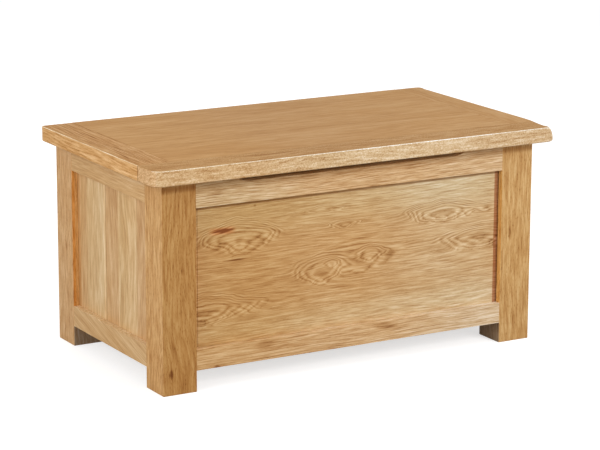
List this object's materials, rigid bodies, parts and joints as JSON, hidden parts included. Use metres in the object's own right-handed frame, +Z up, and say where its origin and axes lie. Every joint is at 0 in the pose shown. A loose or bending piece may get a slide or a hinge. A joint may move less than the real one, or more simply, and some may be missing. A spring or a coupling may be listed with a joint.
{
  "type": "blanket box",
  "caption": "Oak blanket box on square legs, with framed panels and a thick overhanging lid that hinges at the back on folding stays.",
  "frame": {"origin": "on the floor, under the middle of the whole box", "axes": "+X to the right of someone facing the front, front towards -Y, +Z up"},
  "size_m": [0.95, 0.5394, 0.4684],
  "materials": {
    "oak_legs": "clear satin lacquer on oak",
    "oak_rails": "clear satin lacquer on oak",
    "oak_front_panel": "clear satin lacquer on oak",
    "oak_side_panels": "clear satin lacquer on oak",
    "oak_base": "sanded oak",
    "oak_lid_front": "clear satin lacquer on oak",
    "oak_lid_ends": "clear satin lacquer on oak",
    "oak_lid_boards": "clear satin lacquer on oak",
    "oak_battens": "sanded oak",
    "hinge_brass": "satin brass",
    "stay_steel": "zinc-plated steel"
  },
  "bodies": {
    "case": {"leg_front_left": "oak_legs", "leg_front_right": "oak_legs", "leg_back_left": "oak_legs", "leg_back_right": "oak_legs", "rail_front_top": "oak_rails", "rail_front_bottom": "oak_rails", "rail_back_top": "oak_rails", "rail_back_bottom": "oak_rails", "rail_left_top": "oak_rails", "rail_left_bottom": "oak_rails", "rail_right_top": "oak_rails", "rail_right_bottom": "oak_rails", "panel_front": "oak_front_panel", "panel_back": "oak_front_panel", "panel_left": "oak_side_panels", "panel_right": "oak_side_panels", "base_boards": "oak_base", "base_bearers": "oak_base", "hinge_left_case_leaf": "hinge_brass", "hinge_left_pin": "hinge_brass", "hinge_right_case_leaf": "hinge_brass", "hinge_right_pin": "hinge_brass", "hinge_screws_case": "hinge_brass", "stay_left_case_bracket": "stay_steel", "stay_right_case_bracket": "stay_steel", "stay_screws_case": "stay_steel"},
    "lid": {"lid_front_board": "oak_lid_front", "lid_end_left": "oak_lid_ends", "lid_end_right": "oak_lid_ends", "lid_board_1": "oak_lid_boards", "lid_board_2": "oak_lid_boards", "lid_board_3": "oak_lid_boards", "lid_board_4": "oak_lid_boards", "lid_battens": "oak_battens", "hinge_left_lid_leaf": "hinge_brass", "hinge_right_lid_leaf": "hinge_brass", "hinge_screws_lid": "hinge_brass", "stay_left_lid_bracket": "stay_steel", "stay_right_lid_bracket": "stay_steel", "stay_screws_lid": "stay_steel"},
    "left_lower_arm": {"stay_left_lower_arm": "stay_steel", "stay_left_elbow_rivet": "stay_steel"},
    "left_upper_arm": {"stay_left_upper_arm": "stay_steel"},
    "right_lower_arm": {"stay_right_lower_arm": "stay_steel", "stay_right_elbow_rivet": "stay_steel"},
    "right_upper_arm": {"stay_right_upper_arm": "stay_steel"}
  },
  "joints": [
    {"name": "lid_hinge", "type": "hinge", "parent": "case", "child": "lid", "pos_m": [0, 0.26575, 0.4362], "axis": [-1, 0, 0], "range_deg": [0, 95]},
    {"name": "left_stay_lower_pivot", "type": "hinge", "parent": "case", "child": "left_lower_arm", "pos_m": [-0.4093, 0.11548, 0.3982], "axis": [-1, 0, 0], "range_deg": [0, 95]},
    {"name": "left_stay_upper_pivot", "type": "hinge", "parent": "lid", "child": "left_upper_arm", "pos_m": [-0.4065, 0.1113, 0.4232], "axis": [1, 0, 0], "range_deg": [0, 95]},
    {"name": "right_stay_lower_pivot", "type": "hinge", "parent": "case", "child": "right_lower_arm", "pos_m": [0.4093, 0.11548, 0.3982], "axis": [-1, 0, 0], "range_deg": [0, 95]},
    {"name": "right_stay_upper_pivot", "type": "hinge", "parent": "lid", "child": "right_upper_arm", "pos_m": [0.4065, 0.1113, 0.4232], "axis": [1, 0, 0], "range_deg": [0, 95]}
  ],
  "couplings": [
    {"joint": "left_stay_lower_pivot", "follows": "lid_hinge", "ratio": 1},
    {"joint": "left_stay_upper_pivot", "follows": "lid_hinge", "ratio": 1},
    {"joint": "right_stay_lower_pivot", "follows": "lid_hinge", "ratio": 1},
    {"joint": "right_stay_upper_pivot", "follows": "lid_hinge", "ratio": 1}
  ]
}
